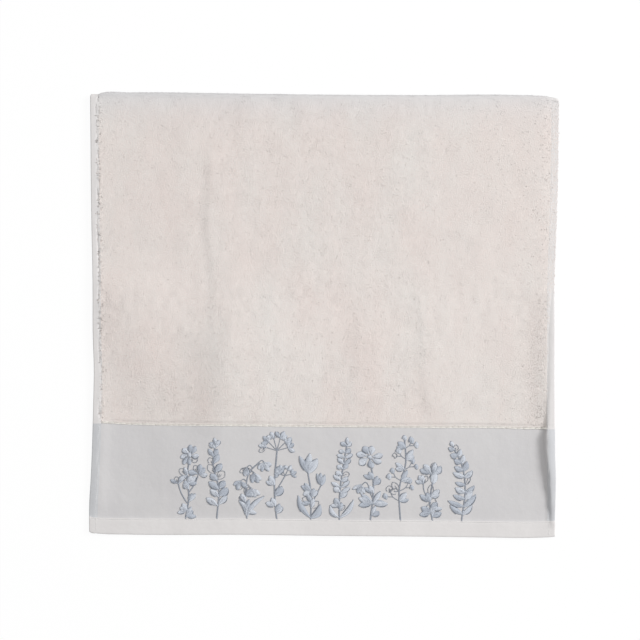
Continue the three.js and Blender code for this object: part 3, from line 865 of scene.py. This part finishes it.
def threads_mesh(starts, ends, widths, heights):
    """Laid threads, each a slim closed arch from one place (across, along) on the cloth to another."""
    count = len(starts)
    middle, outward, half, _ = cloth_place(*np.concatenate([starts, ends]).T)
    surface = middle + outward * (half - THREAD_SINK)[:, None]
    start, end = surface[:count], surface[count:]
    up = outward[:count]
    run = end - start
    side = np.cross(up, run)
    side *= (widths / 2 / np.linalg.norm(side, axis=1))[:, None]
    rise = up * (heights + THREAD_SINK)[:, None]
    corners = [start, end]
    for share in (THREAD_SHOULDER, 1 - THREAD_SHOULDER):
        place = start + run * share
        flank = place + rise * THREAD_FLANK
        corners += [flank - side, flank + side, place + rise]
    arch = np.array(
        [[0, 2, 4], [0, 4, 3], [0, 3, 2], [1, 7, 5], [1, 6, 7], [1, 5, 6], [2, 5, 7], [2, 7, 4]]
        + [[4, 7, 6], [4, 6, 3], [3, 6, 5], [3, 5, 2]]
    )
    first = np.arange(count)[:, None, None] * 8
    return np.stack(corners, 1).reshape(-1, 3), (first + arch).reshape(-1, 3)


CREAM, CREAM_DEEP = (245, 242, 236), (238, 234, 227)
cream_yarn = cotton("cream yarn", CREAM, CREAM_DEEP, patch_scale=30, fleck_scale=500, fleck=0.4)[0]
starts, ends, widths, heights = [], [], [], []
random = np.random.default_rng(5)
for row in PICK_ROWS:
    for from_hem in (BAND_HEAD + row["above_band"], CLOTH_LENGTH - BAND_HEAD - row["above_band"]):
        steps = np.arange(SIDE_HEM - 1, CLOTH_WIDTH - SIDE_HEM - FLOAT_LENGTH, FLOAT_LENGTH)
        astray, uneven, slant = (
            random.uniform(-FLOAT_NOISE[key], FLOAT_NOISE[key], len(steps)) for key in FLOAT_NOISE
        )
        steps = steps + astray
        level = from_hem + uneven
        starts.append(np.stack([steps, level], 1))
        ends.append(np.stack([steps + FLOAT_LENGTH * FLOAT_OVERLAP, level + slant], 1))
        widths.append(row["width"] * random.uniform(*FLOAT_WIDTHS, len(steps)))
        heights.append(row["tall"] * random.uniform(*FLOAT_HEIGHTS, len(steps)))
points, faces = threads_mesh(*[np.concatenate(v) for v in (starts, ends, widths, heights)])
picks = new_mesh("cream_picks", points, faces, [cream_yarn])
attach(picks, "root")

# ----------------------------------------------------------------------------------------------------
# The stitching. One row of lockstitch in white cotton holds each turned edge down, along both sides and
# both ends of the cloth. It is made on the face that lies outwards.
# ----------------------------------------------------------------------------------------------------
STITCH_LENGTH = 3.1
STITCH_GAP = 0.7
STITCH_WIDTH = 0.75
STITCH_TALL = 0.4
SIDE_START = 4.0  # how far from a corner the seams of the sides start
END_START = 3.0  # and those of the ends


def stitch_row(start, end):
    """The stitches of one straight row between two places, as where each starts and ends."""
    start, end = np.array(start, float), np.array(end, float)
    length = np.hypot(*(end - start))
    along_row = np.arange(0, length - STITCH_LENGTH, STITCH_LENGTH)[:, None] / length
    going = (STITCH_LENGTH - STITCH_GAP) / length
    return start + (end - start) * along_row, start + (end - start) * (along_row + going)


hem_seam, side_seam = HEM_DEPTH - 2.0, SIDE_HEM - 2.5
seams = [
    stitch_row((side_seam, SIDE_START), (side_seam, CLOTH_LENGTH - SIDE_START)),
    stitch_row((CLOTH_WIDTH - side_seam, SIDE_START), (CLOTH_WIDTH - side_seam, CLOTH_LENGTH - SIDE_START)),
    stitch_row((END_START, hem_seam), (CLOTH_WIDTH - END_START, hem_seam)),
    stitch_row((END_START, CLOTH_LENGTH - hem_seam), (CLOTH_WIDTH - END_START, CLOTH_LENGTH - hem_seam)),
]
starts = np.concatenate([seam[0] for seam in seams])
ends = np.concatenate([seam[1] for seam in seams])
size = np.ones(len(starts))
points, faces = threads_mesh(starts, ends, STITCH_WIDTH * size, STITCH_TALL * size)
sewing_cotton = cotton("sewing cotton", (232, 231, 230), (222, 221, 220), roughness=0.7)[0]
stitching = new_mesh("hem_stitching", points, faces, [sewing_cotton])
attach(stitching, "root")

# ----------------------------------------------------------------------------------------------------
# The embroidery. Ten wild flowers, leaves and grasses stand in a row along the hem of the front band.
# Stems are narrow slanted satin stitch, petals and leaves are filled in two pale threads, and a darker
# thread in back stitch edges each of them on its lower left side, away from the light, as painted shade, and
# draws its vein.
# ----------------------------------------------------------------------------------------------------
STEM_PITCH = 0.8
STEM_WIDTH = 1.04  # wider than its pitch, so that the stitches close up
STEM_TALL = 0.7
EDGE_STITCH = 2.3
EDGE_WIDTH = 1.0
EDGE_TALL = 1.2  # so that the edges stand over the fillings
EDGE_OVERLAP = 0.25  # the share of its length by which each stitch runs on beside the next one
FILL_PITCH = 0.66
FILL_WIDTH = 2.4  # neighbours overlap, so their crowns make one soft surface
FILL_TALL = 0.9
FILL_SLANT = 2  # how many stitches further on a filling stitch ends
LEAST_FILL = 1.2  # shorter stitches than this are left out
OPEN_SHARE = 0.12  # leaves and petals that are edged all round and not filled
VEIN_FROM = 8.0  # leaves and petals longer than this have a vein
LEAF_TURN = 9.0  # about how far each leaf or petal is turned from its place, in degrees
LEAF_SIZES = (0.86, 1.22)  # its length and its width, as shares of those asked for
LEAF_BLUNTNESS = 0.7  # 1 for a pointed leaf, and less for a blunter one
THREAD_SIZES = (0.8, 1.1)  # the widths and heights of single stitches, as shares of the usual ones


def turned(length, angle):
    """A step of the given length, at an angle in degrees from +X."""
    return np.array([math.cos(math.radians(angle)), math.sin(math.radians(angle))]) * length


def smooth_line(points):
    """A smooth curve through a few points."""
    points = np.array(points, float)
    if len(points) < 3:
        return points
    spans = np.concatenate([[0], np.cumsum(np.hypot(*np.diff(points, axis=0).T))])
    table = [{"s": s, "x": x, "y": y} for s, (x, y) in zip(spans, points)]
    s = np.linspace(0, spans[-1], 60)
    return np.stack([read(table, "s", s, "x"), read(table, "s", s, "y")], 1)


def even_steps(line, pitch):
    """The same line again, as points at an even pitch."""
    spans = np.concatenate([[0], np.cumsum(np.hypot(*np.diff(line, axis=0).T))])
    s = np.linspace(0, spans[-1], max(3, round(spans[-1] / pitch) + 1))
    return np.stack([np.interp(s, spans, line[:, 0]), np.interp(s, spans, line[:, 1])], 1)


class Sprig:
    """The stems, edges and fillings of one sprig, in millimetres from its foot on the hem."""

    def __init__(self, seed):
        self.random = np.random.default_rng(seed)
        self.stems, self.edges, self.fills = [], [], ([], [])

    def stem(self, *points, width=1.7):
        """A stem through a few points, which it gives back as a line."""
        line = smooth_line(points)
        self.stems.append((line, width))
        return line

    def leaf(self, foot, angle, length, width, fullness=1.0, bend=0.0):
        """A leaf or petal, no two quite alike. Above 1, fullness widens it towards the tip."""
        angle = angle + self.random.normal(0, LEAF_TURN)
        length, width = np.array([length, width]) * self.random.uniform(*LEAF_SIZES, 2)
        t = np.linspace(0, 1, 25)[:, None]
        beside = turned(1, angle + 90)
        centre = np.array(foot) + t * turned(length, angle) + bend * np.sin(np.pi * t) * beside
        spread = beside * width / 2 * np.sin(np.pi * t**fullness) ** LEAF_BLUNTNESS
        # The dark edges and the vein each run over a part of its 25 places from foot to tip. The one dark
        # edge goes on the lower left side, away from the light: a real darker thread, placed there as
        # painted shade.
        painted_shade_side = -1 if beside @ (1, 1) > 0 else 1
        self.edges.append(centre[: self.random.integers(9, 17)])
        self.edges.append((centre + painted_shade_side * spread)[self.random.integers(2, 10) :])
        if length > VEIN_FROM:
            vein = centre + self.random.uniform(-0.7, 0.7) * spread
            self.edges.append(vein[5 : self.random.integers(11, 17)])
        if self.random.random() < OPEN_SHARE:
            self.edges.append(centre - painted_shade_side * spread)
        else:
            self.fills[self.random.integers(2)].append((centre + spread, centre - spread, length))

    def knot(self, centre, radius):
        """A small round filling, such as a flower's heart, a bud or a berry."""
        self.leaf(np.array(centre) - (0, radius), 90, 2 * radius, 2 * radius)

    def ring(self, centre, petals, start, length, width, fullness=1.5, spread=360.0, facing=90.0):
        """Petals all round a centre, or over a part of a turn that faces one way."""
        first = facing - spread / 2
        step = spread / (petals if spread == 360 else petals - 1)
        for number in range(petals):
            angle = first + step * number
            self.leaf(np.array(centre) + turned(start, angle), angle, length, width, fullness)

    def tufts(self, stem, shares, size):
        """Small leaves in twos and threes, by turns on either side of a stem."""
        for number, share in enumerate(shares):
            foot = stem[int(share * (len(stem) - 1))]
            side = 1 if number % 2 else -1
            for turn in (24, 58, 92)[: self.random.integers(2, 4)]:
                self.leaf(foot, 90 + side * turn, size, size * 0.6, 1.2)


def daisies(sprig, height):
    """A daisy seen face on, a smaller one from the side, and a bud."""
    stem = sprig.stem((0, 0), (3, 0.3 * height), (-2, 0.6 * height), (0, height - 18), width=2.6)
    sprig.ring((0, height - 12), 8, 3, 11.5, 8)
    sprig.knot((0, height - 12), 3.4)
    sprig.stem((2, 0.36 * height), (11, 0.5 * height), (15, 0.62 * height), width=2)
    sprig.ring((15.5, 0.62 * height), 5, 1, 13, 7.5, 1.6, 150, 78)
    sprig.stem((1, 0.22 * height), (-9, 0.36 * height), (-15, 0.5 * height), width=2)
    sprig.ring((-15, 0.49 * height), 3, 0, 12, 7, 1.4, 90, 100)
    sprig.tufts(stem, (0.06, 0.14, 0.3, 0.5, 0.62, 0.74), 13)


def leafy_branch(sprig, height):
    """A branch with rounded leaves in pairs, smaller towards its tip."""
    stem = sprig.stem((0, 0), (5, 0.35 * height), (-2, 0.7 * height), (3, height - 10), width=2.6)
    for share in np.linspace(0.18, 0.95, 8):
        foot = stem[int(share * (len(stem) - 1))]
        size = 19 - 8 * share
        sprig.leaf(foot, 142 - 12 * share, size, size * 0.66, 1.2)
        sprig.leaf(foot + (0.5, 2.5), 36 + 14 * share, size, size * 0.66, 1.2)
    sprig.ring(stem[-1], 3, 0, 10, 6, 1.3, 90)


def bells(sprig, height):
    """Nodding bells on a bent stalk, over long narrow leaves."""
    stem = sprig.stem((0, 0), (-5, 0.45 * height), (-1, 0.8 * height), (12, height - 4), width=2.5)
    for share, side in ((0.5, 1), (0.62, -1), (0.76, 1), (0.88, -1), (0.99, 1)):
        foot = stem[int(share * (len(stem) - 1))]
        drop = foot + (9 * side, 1)
        sprig.stem(foot, foot + (5 * side, 4), drop, width=1.5)
        sprig.ring(drop, 4, 0, 13, 7.5, 1.4, 84, 270 + 8 * side)
    sprig.leaf((-1, 4), 122, 30, 9, bend=-4)
    sprig.leaf((0, 3), 56, 34, 9, bend=4)
    sprig.tufts(stem, (0.16, 0.28, 0.4), 14)


def umbels(sprig, height):
    """Fine rays that spread from one point, each with a cluster of florets."""
    crown, side_crown = (0, height - 28), (12, 0.5 * height)
    stem = sprig.stem((0, 0), (-4, 0.4 * height), crown, width=2.8)
    sprig.stem((-3, 0.3 * height), (6, 0.42 * height), side_crown, width=2)
    for centre, rays, reach, size in ((crown, 6, 20, 11), (side_crown, 4, 11, 8)):
        for angle in np.linspace(164, 16, rays):
            tip = np.array(centre) + turned(reach * (1 - 0.16 * abs(angle - 90) / 90), angle)
            sprig.stem(centre, tip, width=1.4)
            sprig.ring(tip, 3, -1, size, size * 0.62, 1.5, 120, angle)
    sprig.tufts(stem, (0.1, 0.2, 0.34, 0.5, 0.66), 15)


def tulips(sprig, height):
    """A tulip and its bud between broad leaves."""
    cup, bud = np.array((-2, height - 30)), np.array((17, 0.52 * height))
    stem = sprig.stem((0, 0), (2, 0.35 * height), cup, width=2.6)
    sprig.ring(cup, 4, 0, 26, 11, 1.0, 60)
    sprig.stem((1, 0.2 * height), (9, 0.36 * height), bud, width=1.8)
    sprig.ring(bud, 3, 0, 18, 8, 0.9, 40, 80)
    sprig.leaf((0, 2), 118, 34, 11, bend=4)
    sprig.leaf((0, 2), 52, 26, 10, bend=-4)
    sprig.tufts(stem, (0.24, 0.36, 0.5, 0.62), 14)


def spike(sprig, height):
    """A tall spike of small paired florets over grassy leaves."""
    stem = sprig.stem((0, 0), (-3, 0.4 * height), (2, height - 8), width=2.6)
    for share in np.linspace(0.36, 0.97, 9):
        foot = stem[int(share * (len(stem) - 1))]
        for side in (-1, 1):
            sprig.leaf(foot, 90 + 56 * side, 17 - 8 * share, 7.6, 1.3)
    sprig.leaf(stem[-1] - (0, 1), 90, 9, 5.5)
    sprig.leaf((0, 3), 124, 28, 8, bend=4)
    sprig.leaf((0, 3), 58, 30, 8, bend=-4)
    sprig.tufts(stem, (0.12, 0.2, 0.29), 13)


def windflower(sprig, height):
    """A broad open flower on a long stalk, a hanging bud, and cut leaves."""
    heart = np.array((1, height - 18))
    stem = sprig.stem((0, 0), (5, 0.4 * height), heart, width=2.8)
    sprig.ring(heart, 7, 3.5, 14, 11, 1.6)
    sprig.knot(heart, 3.2)
    sprig.stem((3, 0.3 * height), (-8, 0.5 * height), (-13, 0.46 * height), width=1.8)
    sprig.ring((-13, 0.47 * height), 4, 0, 13, 7, 1.3, 90, 250)
    for angle in (190, 160, 128, 52, 20, -10):
        sprig.leaf((4, 0.22 * height), angle, 19, 8.5, 1.2)
    sprig.tufts(stem, (0.1, 0.44, 0.56, 0.66), 13)


def berries(sprig, height):
    """A branching twig with round berries and small leaves."""
    stem = sprig.stem((0, 0), (-4, 0.4 * height), (4, 0.7 * height), (1, height - 6), width=2.6)
    for number, share in enumerate(np.linspace(0.24, 0.9, 6)):
        side = 1 if number % 2 else -1
        foot = stem[int(share * (len(stem) - 1))]
        reach = 24 - 13 * share
        fork, tip = foot + turned(reach * 0.55, 90 - 58 * side), foot + turned(reach, 90 - 44 * side)
        sprig.stem(foot, fork, tip, width=1.3)
        sprig.knot(tip + turned(2.6, 90 - 30 * side), 4.4)
        sprig.stem(fork, fork + turned(8, 90 - 88 * side), width=1.3)
        sprig.knot(fork + turned(10.5, 90 - 88 * side), 4)
        sprig.leaf(foot, 90 + 40 * side, 15, 8.5, 1.1)
        sprig.leaf(foot, 90 + 82 * side, 13, 8, 1.2)
    sprig.knot(stem[-1] + (0, 3), 3.6)


def cornflower(sprig, height):
    """A scaly bulb with a fan of ragged florets, and toothed leaves."""
    neck = np.array((1, height - 36))
    stem = sprig.stem((0, 0), (-3, 0.35 * height), neck, width=2.6)
    sprig.leaf(neck, 90, 16, 13, 0.85)
    sprig.ring(neck + (0, 13), 7, 1, 18, 9, 1.8, 132)
    sprig.stem((-2, 0.3 * height), (-12, 0.5 * height), (-13, 0.6 * height), width=1.8)
    sprig.ring((-13, 0.6 * height), 4, 0, 13, 7, 1.5, 84, 98)
    sprig.tufts(stem, (0.12, 0.22, 0.34, 0.5, 0.66), 15)


def fern(sprig, height):
    """A frond whose leaflets grow shorter up to its tip."""
    stem = sprig.stem((0, 0), (7, 0.4 * height), (3, 0.75 * height), (-8, height - 6), width=2.6)
    for share in np.linspace(0.1, 0.96, 10):
        foot = stem[int(share * (len(stem) - 1))]
        size, tilt = 17 * (1 - share) + 8, 18 * share
        sprig.leaf(foot, 148 + 0.8 * tilt, size, 8.5, 0.9, bend=1)
        sprig.leaf(foot, 38 + tilt, size, 8.5, 0.9, bend=-1)
    sprig.leaf(stem[-1], 112, 9, 6)


def satin_line(line, width):
    """Short stitches side by side across a line, all at the same slant."""
    spots = even_steps(line, STEM_PITCH)
    going = np.gradient(spots, axis=0)
    going /= np.maximum(np.hypot(*going.T), 1e-6)[:, None]
    beside = np.stack([-going[:, 1], going[:, 0]], 1)
    reach = beside * width / 2 + going * width / 3
    return spots - reach, spots + reach


def back_stitch(line):
    """Stitches end to end along a line."""
    spots = even_steps(line, EDGE_STITCH)
    return spots[:-1], spots[1:] + EDGE_OVERLAP * (spots[1:] - spots[:-1])


def fill_stitches(left, right, length):
    """Long stitches side by side from one edge of a leaf or petal to the other."""
    count = max(5, round(length / FILL_PITCH))
    s, t = np.linspace(0, 1, count), np.linspace(0, 1, len(left))
    starts = np.stack([np.interp(s, t, left[:, 0]), np.interp(s, t, left[:, 1])], 1)
    ends = np.stack([np.interp(s, t, right[:, 0]), np.interp(s, t, right[:, 1])], 1)
    starts, ends = starts[:-FILL_SLANT], ends[FILL_SLANT:]
    long_enough = np.hypot(*(ends - starts).T) > LEAST_FILL
    return starts[long_enough], ends[long_enough]


# How far to the right of the band's middle each sprig stands, its height, and its lean in degrees.
SPRIGS = [
    {"draw": daisies, "at": -205, "height": 108, "lean": 2},
    {"draw": leafy_branch, "at": -158, "height": 122, "lean": -4},
    {"draw": bells, "at": -113, "height": 90, "lean": 3},
    {"draw": umbels, "at": -68, "height": 132, "lean": -1},
    {"draw": tulips, "at": -17, "height": 100, "lean": -3},
    {"draw": spike, "at": 26, "height": 124, "lean": 4},
    {"draw": windflower, "at": 73, "height": 114, "lean": -2},
    {"draw": berries, "at": 118, "height": 128, "lean": 2},
    {"draw": cornflower, "at": 166, "height": 92, "lean": -2},
    {"draw": fern, "at": 210, "height": 118, "lean": -3},
]


def on_band(spots, row):
    """Places on the cloth for places of a sprig, which leans as its row says."""
    sideways = spots[:, 0] + math.tan(math.radians(row["lean"])) * spots[:, 1]
    return np.stack([CLOTH_WIDTH / 2 + row["at"] + sideways, HEM_DEPTH + spots[:, 1]], 1)


def embroidery_thread(name, colour, deep, patch_scale, fleck):
    """The finish of a thread with a slight sheen."""
    return cotton(name, colour, deep, patch_scale, 900, fleck, roughness=0.5)[0]


dusk_blue = embroidery_thread("dusk blue thread", (166, 171, 181), (152, 158, 168), 120, 0.5)
pale_blue = embroidery_thread("pale blue thread", (206, 210, 217), (189, 195, 205), 150, 0.4)
soft_blue = embroidery_thread("soft blue thread", (187, 193, 202), (169, 176, 188), 150, 0.4)
made = {"stems": [], "edges": [], "pale": [], "soft": []}
for seed, row in enumerate(SPRIGS):
    sprig = Sprig(seed)
    row["draw"](sprig, row["height"])
    stitches = {
        "stems": [satin_line(line, width) for line, width in sprig.stems],
        "edges": [back_stitch(line) for line in sprig.edges],
        "pale": [fill_stitches(*fill) for fill in sprig.fills[0]],
        "soft": [fill_stitches(*fill) for fill in sprig.fills[1]],
    }
    for name, pairs in stitches.items():
        made[name] += [(on_band(starts, row), on_band(ends, row)) for starts, ends in pairs]

for name, material, width, tall in (
    ("pale", pale_blue, FILL_WIDTH, FILL_TALL),
    ("soft", soft_blue, FILL_WIDTH, FILL_TALL),
    ("stems", dusk_blue, STEM_WIDTH, STEM_TALL),
    ("edges", dusk_blue, EDGE_WIDTH, EDGE_TALL),
):
    starts = np.concatenate([pair[0] for pair in made[name]])
    ends = np.concatenate([pair[1] for pair in made[name]])
    size = np.random.default_rng(9).uniform(*THREAD_SIZES, len(starts))
    points, faces = threads_mesh(starts, ends, width * size, tall * size)
    piece = new_mesh(f"embroidery_{name}", points, faces, [material])
    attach(piece, "root")

# ----------------------------------------------------------------------------------------------------
# The table, the lamps and the camera. The towel lies on a plain white table. It is lit evenly from all
# round and from above, and more from the right, and is seen from straight above.
# ----------------------------------------------------------------------------------------------------
TABLE_REACH = 6.0  # metres from its middle to each side
TABLE_GLOW = 0.94  # how much of the white that the camera sees is plain white, without shadow
ROOM_LIGHT = 0.335
mesh = bpy.data.meshes.new("table")
corners = [(-1, -1), (1, -1), (1, 1), (-1, 1)]
mesh.from_pydata([(x * TABLE_REACH, y * TABLE_REACH, 0) for x, y in corners], [], [(0, 1, 2, 3)])
table = bpy.data.objects.new("table", mesh)
bpy.context.scene.collection.objects.link(table)
table_top = bpy.data.materials.new("white table")
table_top.use_nodes = True
nodes, links = table_top.node_tree.nodes, table_top.node_tree.links
surface = nodes["Principled BSDF"]
surface.inputs["Base Color"].default_value = (1, 1, 1, 1)
surface.inputs["Roughness"].default_value = 1
surface.inputs["Specular IOR Level"].default_value = 0
glow = nodes.new("ShaderNodeEmission")
glow.inputs["Strength"].default_value = 1
ray = nodes.new("ShaderNodeLightPath")
share = nodes.new("ShaderNodeMath")
share.operation = "MULTIPLY"
share.inputs[1].default_value = TABLE_GLOW
blend = nodes.new("ShaderNodeMixShader")
links.new(ray.outputs["Is Camera Ray"], share.inputs[0])
links.new(share.outputs[0], blend.inputs[0])
links.new(surface.outputs[0], blend.inputs[1])
links.new(glow.outputs[0], blend.inputs[2])
links.new(blend.outputs[0], nodes["Material Output"].inputs["Surface"])
mesh.materials.append(table_top)

world = bpy.data.worlds.new("soft room")
world.use_nodes = True
world.node_tree.nodes["Background"].inputs["Color"].default_value = (1, 1, 1, 1)
world.node_tree.nodes["Background"].inputs["Strength"].default_value = ROOM_LIGHT
bpy.context.scene.world = world

LAMPS = [
    {"name": "overhead", "at": (-0.1, 0.1, 2.8), "size": 1.8, "watts": 18.2},
    {"name": "right", "at": (6.5, 2.75, 5.9), "size": 3.6, "watts": 640},
]
for row in LAMPS:
    lamp_data = bpy.data.lights.new(row["name"], "AREA")
    lamp_data.energy = row["watts"]
    lamp_data.size = row["size"]
    lamp = bpy.data.objects.new(row["name"], lamp_data)
    lamp.location = row["at"]
    lamp.rotation_euler = (-lamp.location).to_track_quat("-Z", "Y").to_euler()
    bpy.context.scene.collection.objects.link(lamp)

VIEW_WIDTH = 0.961  # what the camera sees, side to side, at the height of the towel
CAMERA_ABOVE = 2.7  # how far the camera is above it
CAMERA_AT = (-0.0056, -0.0075, CAMERA_ABOVE + 0.006)
camera_data = bpy.data.cameras.new("camera")
camera_data.lens = camera_data.sensor_width * CAMERA_ABOVE / VIEW_WIDTH
camera = bpy.data.objects.new("camera", camera_data)
camera.location = CAMERA_AT
bpy.context.scene.collection.objects.link(camera)
bpy.context.scene.camera = camera
bpy.context.scene.view_settings.view_transform = "Standard"
